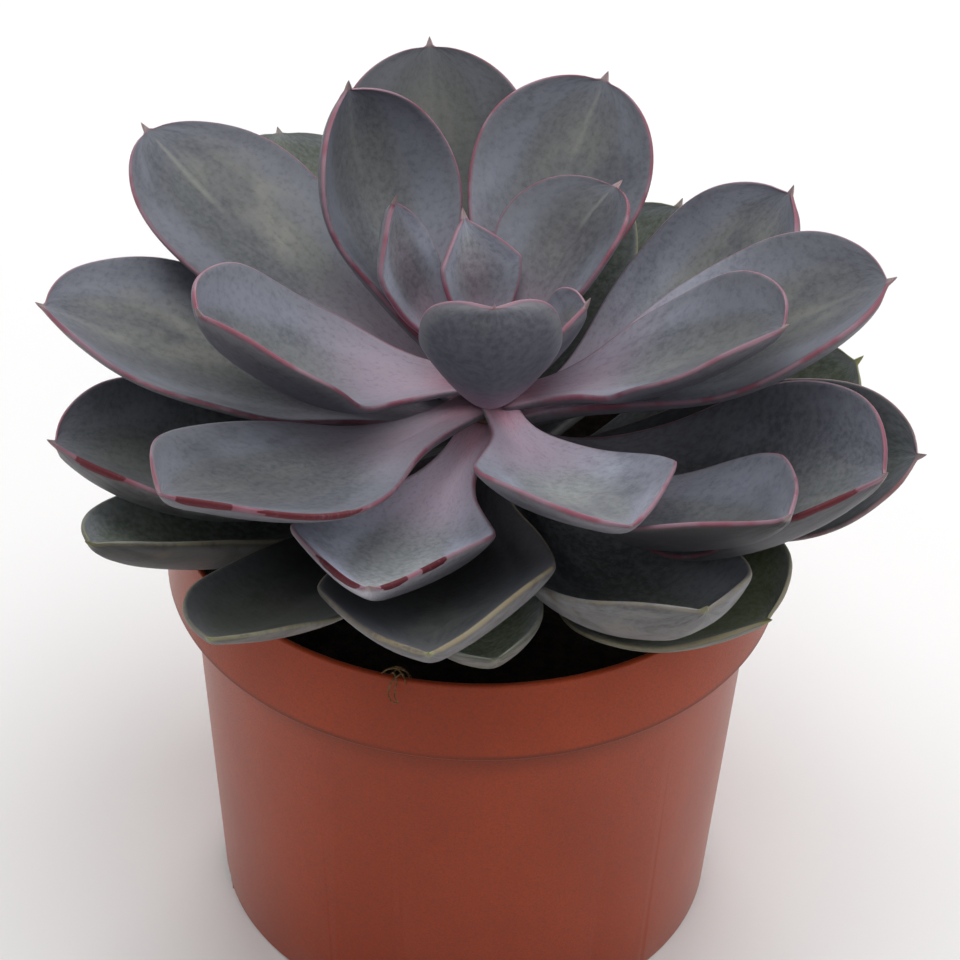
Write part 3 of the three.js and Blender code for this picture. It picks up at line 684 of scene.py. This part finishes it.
def leaf_values(leaf, rings, t, half, age, seed):
    """What the leaf material reads at each point of a leaf, the tip last."""
    slope = np.gradient(half[:, 0], rings * leaf["length"])[:, None]
    rim = (1 - np.abs(t)) * half / np.sqrt(1 + slope ** 2)
    under = ringed(np.zeros_like(rim), np.ones_like(rim))
    under[:, 0] = under[:, ACROSS] = 0.5
    values = {
        "along": ringed(*[rings[:, None] + 0 * t] * 2),
        "across": ringed(*[t + 0 * half] * 2),
        "rim": ringed(rim, rim),
        "under": under,
    }
    values["red"] = streaks(leaf, values)
    values["brown"] = blotches(leaf, values)
    flat = {key: np.append(v.ravel(), v[-1].mean()) for key, v in values.items()}
    count = len(flat["rim"])
    # Painted light on the root half of young leaves and painted shade there on old ones, unless a leaf
    # has its own value.
    usual = dict(USUAL_MARKS, age=age, root_light_and_shade=lerp(YOUNG_ROOT_LIGHT, OLD_ROOT_SHADE, step(0.45, 0.7, age)),
                 edge_green=step(0.62, 0.85, age))
    for key, value in usual.items():
        flat[key] = np.full(count, leaf.get(key, value))
    flat["grain"] = np.stack([flat["along"] * leaf["length"], flat["across"] * leaf["width"] / 2,
                              np.full(count, GRAIN_STEP * seed)], -1)
    return flat


def leaf_mesh(leaf, ring, age, seed, inside_stem=INSIDE_STEM):
    """Points in mm, faces and attributes of one leaf, grown from the stem's axis."""
    stations = leaf_stations(leaf, inside_stem)
    upper, lower, tip, t, half = leaf_skin(leaf, stations, seed)
    points = np.vstack([ringed(upper, lower).reshape(-1, 3), tip])
    values = leaf_values(leaf, stations[:-1], t, half, age, seed)
    return on_stem(points, leaf, ring), leaf_faces(len(stations) - 1), values


def streaks(leaf, values):
    """Dark red dashes on the margin, tapering to both ends."""
    total = np.zeros_like(values["rim"])
    for side, start, end in leaf.get("dashes", ()):
        run = np.clip((values["along"] - start) / (end - start), 0, 1)
        breadth = DASH_WIDTH * np.sqrt(4 * run * (1 - run)) + 0.01
        on_side = values["across"] * side > 0
        inside = (run > 0) * (run < 1)
        band = step(1.2 * breadth, 0.7 * breadth, values["rim"])
        total = np.maximum(total, on_side * inside * band)
    return total


def blotches(leaf, values):
    """Dry patches on the lower face. A leaf lists them as (station, across, radius in mm)."""
    total = np.zeros_like(values["rim"])
    for station, across, radius in leaf.get("patches", ()):
        away = np.hypot((values["along"] - station) * leaf["length"],
                        (values["across"] - across) * leaf["width"] / 2)
        total = np.maximum(total, step(radius, 0.4 * radius, away) * (values["under"] > 0.4))
    return total


# What sets single leaves apart, by leaf number. tone and under_tone_and_light: depth of colour above
# and below, partly the leaf's own colour and partly painted light and shade.
# fade: depth of colour of the half near the root against the rest, painted light above 1 and painted
# shade below 1. pale: strength of the pale patch.
# pale_side: where across the leaf it lies. line: strength of the midrib line. green: how olive the
# leaf is. edge: strength of the margin's line. edge_green, green_tip: 1 where it is yellow-green.
# dashes: dark red lengths of margin, as (side, from station, to station). patches: dry spots
# underneath, as (station, across, radius in mm).
MARKS = {
    1: dict(tone_and_light=1.68, root_light_and_shade=0.64, pale=0.1, under_tone_and_light=1.2),
    2: dict(tone_and_light=1.6, root_light_and_shade=0.7, pale=0.1, under_tone_and_light=1.2),
    3: dict(under_tone_and_light=1.1),
    4: dict(tone_and_light=0.66, root_light_and_shade=1.6, pale=0.35, line=0.6),
    5: dict(tone_and_light=0.96, root_light_and_shade=1.15, pale=0.3, patches=[(0.93, 0.42, 0.8)]),
    6: dict(tone_and_light=0.75, root_light_and_shade=1.6, pale=0.35),
    7: dict(tone_and_light=0.75, root_light_and_shade=1.5, pale=0.2, pale_side=-0.2),
    8: dict(tone_and_light=1.3, root_light_and_shade=1.45, pale=0.3, under_tone_and_light=1.05),
    9: dict(tone_and_light=0.67, root_light_and_shade=1.42, pale=0.2, dashes=[(1, 0.66, 0.86), (1, 0.9, 0.98)]),
    10: dict(tone_and_light=0.78, root_light_and_shade=1.5, pale=0.5, line=0.5),
    11: dict(tone_and_light=0.86, root_light_and_shade=1.3, pale=1, pale_side=-0.35, line=0.7),
    12: dict(tone_and_light=3.6, root_light_and_shade=0.6, pale=0.2, under_tone_and_light=2.5,
             dashes=[(-1, 0.8, 0.96), (1, 0.9, 0.97), (1, 0.79, 0.86)]),
    13: dict(tone_and_light=0.8, root_light_and_shade=2.2, pale=0.8, pale_side=0.1),
    14: dict(tone_and_light=1.08, root_light_and_shade=1.7, pale=0.8, pale_side=0.15),
    15: dict(tone_and_light=1.0, root_light_and_shade=1.5, pale=0.25, under_tone_and_light=0.13),
    16: dict(tone_and_light=0.5, pale=0.7, green=0.2),
    17: dict(tone_and_light=0.92, root_light_and_shade=1.3, pale=0.9, pale_side=-0.25),
    18: dict(tone_and_light=1.6, root_light_and_shade=0.55, pale=0.2, under_tone_and_light=0.47, dashes=[(-1, 0.88, 0.99)]),
    19: dict(tone_and_light=0.42, root_light_and_shade=1.05, under_tone_and_light=0.75, edge_green=0.8, green=0.15, green_tip=1,
             patches=[(0.8, 0.85, 1.8), (0.88, 0.8, 1.1)]),
    20: dict(tone_and_light=1.95, root_light_and_shade=0.75, edge=0.7, edge_green=0.8, green=0.2, green_tip=1,
             patches=[(0.72, -0.95, 1.6), (0.77, -0.85, 0.9)]),
    21: dict(tone_and_light=0.95, under_tone_and_light=0.78, edge_green=0, dashes=[(1, 0.9, 0.98)]),
    22: dict(tone_and_light=0.66, root_light_and_shade=0.25, under_tone_and_light=0.8, edge=0.7, edge_green=0.9, green=0.5, green_tip=1),
    24: dict(tone_and_light=0.7, edge_green=0.2),
    25: dict(tone_and_light=2.0, under_tone_and_light=0.25, edge=0.6, edge_green=0.9, green=0.2, green_tip=1,
             patches=[(0.88, 0.8, 1.5)]),
    27: dict(tone_and_light=1.45, green=1, green_tip=1),
    29: dict(tone_and_light=0.9, green=0.2, green_tip=1),
    32: dict(green_tip=1),
    33: dict(tone_and_light=5.5, under_tone_and_light=0.8, green=0.4, edge=0.3, green_tip=1),
}
USUAL_MARKS = dict(tone_and_light=1, under_tone_and_light=0.85, pale=0.5, pale_side=0, line=0.2, green=0, edge=1,
                   green_tip=0)
# Painted light on the root half of young leaves without a value of their own, and painted shade there
# on old ones.
YOUNG_ROOT_LIGHT = 1.35  # fade of leaves without one of their own
OLD_ROOT_SHADE = 0.6


def make_leaf(number, leaf):
    leaf = leaf | MARKS.get(number, {})
    ring = ROOT_RING + ROOT_RING_STEP * (number - 1)
    age = (number - 1) / (len(LEAVES) - 1)
    points, faces, values = leaf_mesh(leaf, ring, age, number)
    piece = make_piece(f"leaf_blade_{number:02d}", points, faces, LEAF, values)
    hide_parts(f"leaf_{number:02d}")


for number, leaf in enumerate(LEAVES, 1):
    make_leaf(number, leaf)


def merge(parts):
    """Several (points, faces, attributes) as one."""
    points = np.vstack([p for p, _, _ in parts])
    faces, start = [], 0
    for p, f, _ in parts:
        faces += [tuple(v + start for v in face) for face in f]
        start += len(p)
    attributes = {k: np.concatenate([a[k] for _, _, a in parts]) for k in parts[0][2]}
    return points, faces, attributes


def make_bud():
    parts = [leaf_mesh(BUD_LEAF, BUD_LEAF_RING, 0, BUD_SEED, BUD_LEAF_INSIDE_STEM)]
    for i in range(BUD_LEAVES):
        length = BUD_LENGTH - BUD_LENGTH_STEP * i
        young = dict(turn=BUD_TURN + GOLDEN_ANGLE * i, root=BUD_ROOT, length=length,
                     width=BUD_WIDTH * length, rise=BUD_RISE + BUD_RISE_STEP * i, curl=BUD_CURL)
        ring = BUD_RING - BUD_RING_STEP * i
        parts.append(leaf_mesh(young, ring, 0, BUD_SEED + 1 + i, BUD_INSIDE_STEM))
    points, faces, values = merge(parts)
    bud = make_piece("bud_leaves", points, faces, LEAF, values)
    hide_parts("bud")


make_bud()

# ---------------------------------------------------------------- turned pieces


def circle(radius, sides):
    angles = [2 * math.pi * k / sides for k in range(sides)]
    return [(radius * math.cos(angle), radius * math.sin(angle)) for angle in angles]


def tube_faces(rings, sides):
    """Quads between rings of points, with both ends closed."""
    faces = []
    for row in range(rings - 1):
        a, b = row * sides, (row + 1) * sides
        for k in range(sides):
            n = (k + 1) % sides
            faces.append((a + k, a + n, b + n, b + k))
    faces.append(tuple(range(sides))[::-1])
    faces.append(tuple((rings - 1) * sides + k for k in range(sides)))
    return faces


def turned(profile, sides, centre_x=0):
    """Points and faces of a closed turned solid, from its (radius, height) profile off the axis."""
    points = [(centre_x + x, y, height) for radius, height in profile
              for x, y in circle(radius, sides)]
    return points, tube_faces(len(profile), sides)


def rounded(profile, radii, steps=4):
    """The profile with each corner between its ends replaced by a small curve of the given reach."""
    result = [profile[0]]
    for before, corner, after, radius in zip(profile, profile[1:], profile[2:], radii):
        p, c, n = Vector(before), Vector(corner), Vector(after)
        start = c + (p - c).normalized() * radius
        end = c + (n - c).normalized() * radius
        for k in range(steps + 1):
            u = k / steps
            point = start * (1 - u) ** 2 + c * 2 * u * (1 - u) + end * u ** 2
            result.append((point.x, point.y))
    result.append(profile[-1])
    return result


POT_SIDES = 180
POT_MIDDLE = 0.5  # radius of the small flat disc in the middle of the turned pot, mm
SHARP_EDGE = 40  # edges bent by more than this many degrees stay sharp
ROOF_INSIDE_WALL = 0.6  # how far a pocket's roof stays inside the outer face of the wall, mm
ROOF_BOTTOM = 0.2  # the pocket's solid starts this high and is then hollowed out
DRAIN_SIDES = 24
DRAIN_CUT_FROM = 0.5  # height at which the cutter of a drain hole starts, mm


def wall_radius(height):
    """Outside of the pot's wall below the collar."""
    return lerp(FOOT_RADIUS, WALL_TOP_RADIUS, height / LEDGE)


def block(length, width, bottom, top, outer_end):
    """A box along +X."""
    ends = (outer_end - length, outer_end)
    points = [(x, y, z) for z in (bottom, top) for y in (-width / 2, width / 2) for x in ends]
    faces = [(0, 2, 3, 1), (4, 5, 7, 6), (0, 1, 5, 4), (2, 6, 7, 3), (0, 4, 6, 2), (1, 3, 7, 5)]
    return points, faces


def around_pockets(points, faces):
    """Copies of a solid that lies along +X, one at each drain pocket, as one object."""
    all_points, all_faces = [], []
    for i in range(POCKETS):
        turn = Matrix.Rotation(math.radians(POCKET_TURN + 360 / POCKETS * i), 3, "Z")
        start = len(all_points)
        all_points += [tuple(turn @ Vector(p) * MM) for p in points]
        all_faces += [tuple(v + start for v in f) for f in faces]
    mesh = bpy.data.meshes.new("cutter")
    mesh.from_pydata(all_points, [], all_faces)
    obj = bpy.data.objects.new("cutter", mesh)
    COLLECTION.objects.link(obj)
    return obj


def combine(obj, other, operation):
    """Joins the other object to obj or cuts it out of obj, and deletes it."""
    modifier = obj.modifiers.new("combine", "BOOLEAN")
    modifier.object = other
    modifier.operation = operation
    modifier.solver = "EXACT"
    depsgraph = bpy.context.evaluated_depsgraph_get()
    mesh = bpy.data.meshes.new_from_object(obj.evaluated_get(depsgraph))
    obj.modifiers.clear()
    old = obj.data
    obj.data = mesh
    bpy.data.meshes.remove(old)
    bpy.data.objects.remove(other)


def make_pot():
    # From the middle of the underside out, up the outside, over the rim and down the inside
    profile = [
        (POT_MIDDLE, 0), (FOOT_RADIUS, 0), (WALL_TOP_RADIUS, LEDGE), (COLLAR_FOOT_RADIUS, LEDGE),
        (RIM_RADIUS, POT_HEIGHT), (RIM_RADIUS - WALL, POT_HEIGHT),
        (COLLAR_FOOT_RADIUS - WALL, LEDGE + WALL), (WALL_TOP_RADIUS - WALL, LEDGE + WALL),
        (wall_radius(FLOOR) - WALL, FLOOR), (POT_MIDDLE, FLOOR),
    ]
    foot, under_ledge, ledge_edge, rim, inner_ledge, floor_corner = 0.8, 0.7, 0.3, 0.5, 0.5, 0.8
    radii = [foot, under_ledge, ledge_edge, rim, rim, inner_ledge, inner_ledge, floor_corner]
    points, faces = turned(rounded(profile, radii), POT_SIDES)
    pot = make_piece("pot_shell", points, faces, POT)
    outer_end = FOOT_RADIUS + 2 * WALL
    roof_end = wall_radius(POCKET_HEIGHT) - ROOF_INSIDE_WALL
    roof = block(roof_end - POCKET_INNER + FLOOR, POCKET_WIDTH + 2 * FLOOR, ROOF_BOTTOM,
                 POCKET_HEIGHT + FLOOR, roof_end)
    combine(pot, around_pockets(*roof), "UNION")
    hollow = block(outer_end - POCKET_INNER, POCKET_WIDTH, -FLOOR, POCKET_HEIGHT, outer_end)
    combine(pot, around_pockets(*hollow), "DIFFERENCE")
    hole_profile = [(DRAIN_RADIUS, DRAIN_CUT_FROM), (DRAIN_RADIUS, 3 * POCKET_HEIGHT)]
    hole = turned(hole_profile, DRAIN_SIDES, DRAIN_PLACE)
    combine(pot, around_pockets(*hole), "DIFFERENCE")
    mesh = pot.data
    mesh.polygons.foreach_set("use_smooth", [True] * len(mesh.polygons))
    mesh.set_sharp_from_angle(angle=math.radians(SHARP_EDGE))
    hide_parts("pot")


make_pot()

SOIL_RINGS = 46
SOIL_SIDES = 120
SOIL_CLEARANCE = 0.1  # between the potting mix and the pot, mm
CRUMBS = [(0.9, 0.35, 0), (0.6, 0.9, 9)]  # height in mm, fineness, and place in the noise


def soil_height(x, y):
    lumps = [high * math.sin(along_x * x + along_y * y + start)
             for high, along_x, along_y, start in SOIL_LUMPS]
    crumbs = [high * field.noise(Vector((x, y, place)) * fine) for high, fine, place in CRUMBS]
    return SOIL_TOP + sum(lumps) + sum(crumbs)


def make_soil():
    wall_at_top = lerp(COLLAR_FOOT_RADIUS, RIM_RADIUS, (SOIL_TOP - LEDGE) / COLLAR_HEIGHT)
    edge = wall_at_top - WALL - SOIL_CLEARANCE
    points = [(x, y, soil_height(x, y)) for ring in range(SOIL_RINGS + 1)
              for x, y in circle(edge * ring / SOIL_RINGS, SOIL_SIDES)]
    # A skirt down the wall, over the pockets, and a flat underside close the body
    shelf = LEDGE + WALL + SOIL_CLEARANCE
    foot = FLOOR + GAP
    skirt = [(edge, shelf), (WALL_TOP_RADIUS - WALL - SOIL_CLEARANCE, shelf),
             (wall_radius(foot) - WALL - SOIL_CLEARANCE, foot + POCKET_HEIGHT + FLOOR)]
    for radius, height in skirt:
        points += [(x, y, height) for x, y in circle(radius, SOIL_SIDES)]
    faces = []
    for ring in range(SOIL_RINGS + len(skirt)):
        inner, outer = ring * SOIL_SIDES, (ring + 1) * SOIL_SIDES
        for k in range(SOIL_SIDES):
            n = (k + 1) % SOIL_SIDES
            faces.append((inner + k, outer + k, outer + n, inner + n))
    foot_ring = (SOIL_RINGS + len(skirt)) * SOIL_SIDES
    faces.append(tuple(foot_ring + k for k in range(SOIL_SIDES))[::-1])
    soil = make_piece("soil_surface", points, faces, SOIL)
    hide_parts("soil")


make_soil()

STEM_SIDES = 48
STEM_FOOT = [(1, 60), (STEM_RADIUS, 66)]  # (radius, height) of its hidden lower end
SCARS_FROM = 70.0  # height at which the rings of leaf scars start
SCAR_SPACING = 2.1
SCAR_DEPTH = 0.35
SCAR_RISE = 0.7  # height over which a scar's groove runs out
STEM_DOME = 1.5  # rise of its top end


def make_stem():
    profile = list(STEM_FOOT)
    height = SCARS_FROM
    while height < STEM_TOP:
        narrowing = max(0, (height - STEM_STRAIGHT) / (STEM_TOP - STEM_STRAIGHT))
        radius = lerp(STEM_RADIUS, STEM_TOP_RADIUS, narrowing)
        profile += [(radius - SCAR_DEPTH, height), (radius, height + SCAR_RISE)]
        height += SCAR_SPACING
    profile += [(STEM_TOP_RADIUS, STEM_TOP), (1, STEM_TOP + STEM_DOME)]
    points, faces = turned(profile, STEM_SIDES, STEM_X)
    stem = make_piece("stem_bark_surface", points, faces, STEM)
    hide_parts("stem")


make_stem()

# Dry root fibres that hang over the rim at the front left, as points in mm
ROOT_FIBRES = [
    [(-13.6, -46.4, 75.9), (-13.0, -47.8, 80.9), (-12.2, -49.5, 83.4), (-11.7, -51.0, 82.8),
     (-12.0, -52.0, 80.8), (-11.3, -52.2, 79.4)],
    [(-10.0, -47.0, 76.4), (-10.5, -48.2, 81.4), (-11.0, -49.8, 83.5), (-12.3, -50.8, 82.9),
     (-13.0, -51.7, 81.2), (-12.4, -52.1, 79.6), (-11.3, -52.2, 79.4)],
    [(-14.6, -46.0, 76.2), (-13.8, -47.4, 81.6), (-12.6, -48.9, 83.8), (-11.0, -49.2, 83.9),
     (-9.8, -48.6, 82.6), (-9.2, -47.6, 80.4)],
    [(-12.0, -46.2, 75.8), (-12.3, -47.6, 81.2), (-11.6, -49.0, 83.7), (-10.6, -50.4, 83.4),
     (-10.1, -51.2, 82.4)],
    [(-8.9, -46.8, 75.9), (-10.0, -47.9, 82.0), (-11.7, -48.8, 84.1), (-13.3, -49.2, 83.8),
     (-14.2, -49.6, 83.3)],
]
FIBRE_RADIUS = 0.19
FIBRE_END = 0.5  # radius at its far end, as a share of that at its start
FIBRE_SIDES = 6
ACROSS_FIBRES = (1.0, 0.2, 0)  # a direction that no fibre takes


def curve_through(corners, steps=5):
    """A smooth path through the given points."""
    ends = [2 * corners[0] - corners[1], *corners, 2 * corners[-1] - corners[-2]]
    path = []
    for a, b, c, d in zip(ends, ends[1:], ends[2:], ends[3:]):
        for k in range(steps):
            u = k / steps
            path.append(0.5 * (2 * b + (c - a) * u + (2 * a - 5 * b + 4 * c - d) * u ** 2
                               + (3 * b - a - 3 * c + d) * u ** 3))
    return np.array(path + [corners[-1]])


def fibre_mesh(corners):
    """A closed tube that thins out towards its far end."""
    path = curve_through([np.array(c, float) for c in corners])
    heading = np.gradient(path, axis=0)
    heading /= np.linalg.norm(heading, axis=1, keepdims=True)
    side = np.cross(heading, ACROSS_FIBRES)
    side /= np.linalg.norm(side, axis=1, keepdims=True)
    other = np.cross(heading, side)
    thin = FIBRE_RADIUS * np.linspace(1, FIBRE_END, len(path))[:, None]
    angles = 2 * np.pi * np.arange(FIBRE_SIDES) / FIBRE_SIDES
    points = np.stack([path + thin * (side * math.cos(a) + other * math.sin(a)) for a in angles], 1)
    return points.reshape(-1, 3), tube_faces(len(path), FIBRE_SIDES), {}


def make_root_fibres():
    points, faces, _ = merge([fibre_mesh(corners) for corners in ROOT_FIBRES])
    make_piece("root_fibres", points, faces, ROOT)


make_root_fibres()

# ---------------------------------------------------------------- floor, light and camera


FLOOR_HALF = 4  # half the floor's side, metres


def make_floor():
    mesh = bpy.data.meshes.new("floor")
    corners = [(x * FLOOR_HALF, y * FLOOR_HALF, 0) for x, y in ((-1, -1), (1, -1), (1, 1), (-1, 1))]
    mesh.from_pydata(corners, [], [(0, 1, 2, 3)])
    s = Shader("floor_white")
    mesh.materials.append(s.finish(display(244, 244, 244), 0.9, Specular_IOR_Level=0.1))
    floor = bpy.data.objects.new("floor", mesh)
    COLLECTION.objects.link(floor)


# Soft boxes around the plant: name, compass angle and elevation in degrees, power in watts
SOFTBOXES = [
    ("softbox_top", 0, 90, 8.9),
    ("softbox_back", 90, 28, 7.3),
    ("softbox_front", 270, 45, 3.6),
    ("softbox_left", 172, 32, 4.3),
    ("softbox_right", 8, 32, 6.9),
]
SOFTBOX_DISTANCE = 1.25  # metres
SOFTBOX_SIZE = 1.1
PLANT_MIDDLE = Vector((0, 0, 0.09))  # what the soft boxes aim at, metres
WORLD_STRENGTH = 0.02


def add_softbox(name, azimuth, elevation, power):
    data = bpy.data.lights.new(name, "AREA")
    data.shape = "DISK"
    data.size = SOFTBOX_SIZE
    data.energy = power
    light = bpy.data.objects.new(name, data)
    COLLECTION.objects.link(light)
    turn, rise = math.radians(azimuth), math.radians(elevation)
    away = Vector((math.cos(rise) * math.cos(turn), math.cos(rise) * math.sin(turn), math.sin(rise)))
    basis = away.to_track_quat("Z", "Y").to_matrix().to_4x4()
    light.matrix_world = Matrix.Translation(PLANT_MIDDLE + SOFTBOX_DISTANCE * away) @ basis


def add_world(strength):
    world = bpy.data.worlds.new("studio")
    world.use_nodes = True
    background = world.node_tree.nodes["Background"]
    background.inputs["Color"].default_value = (1, 1, 1, 1)
    background.inputs["Strength"].default_value = strength
    bpy.context.scene.world = world


CAMERA_DISTANCE = 677.4  # from the middle of the pot's rim, mm
CAMERA_ELEVATION = 37.74  # degrees above the horizon
CAMERA_ROLL = 1.73
LENS = 149.55  # mm
SENSOR = 36
PICTURE_WIDTH = 960  # pixels
RIM_MIDDLE_OFF = (4.4, 10.2)  # pixels from the picture's middle to the middle of the pot's rim
CLIP = (0.05, 20)  # metres


def add_camera():
    data = bpy.data.cameras.new("camera")
    data.lens = LENS
    data.sensor_width = SENSOR
    data.shift_x, data.shift_y = (pixels / PICTURE_WIDTH for pixels in RIM_MIDDLE_OFF)
    data.clip_start, data.clip_end = CLIP
    camera = bpy.data.objects.new("camera", data)
    COLLECTION.objects.link(camera)
    up_angle, roll = math.radians(CAMERA_ELEVATION), math.radians(CAMERA_ROLL)
    back = Vector((0, -math.cos(up_angle), math.sin(up_angle)))
    right = Vector((1, 0, 0))
    up = back.cross(right)
    rolled_right = right * math.cos(roll) + up * math.sin(roll)
    rolled_up = up * math.cos(roll) - right * math.sin(roll)
    place = (Vector((0, 0, POT_HEIGHT)) + back * CAMERA_DISTANCE) * MM
    basis = Matrix((rolled_right, rolled_up, back)).transposed().to_4x4()
    camera.matrix_world = Matrix.Translation(place) @ basis
    bpy.context.scene.camera = camera


make_floor()
add_world(WORLD_STRENGTH)
for name, azimuth, elevation, power in SOFTBOXES:
    add_softbox(name, azimuth, elevation, power)
add_camera()
bpy.context.scene.view_settings.view_transform = "Standard"
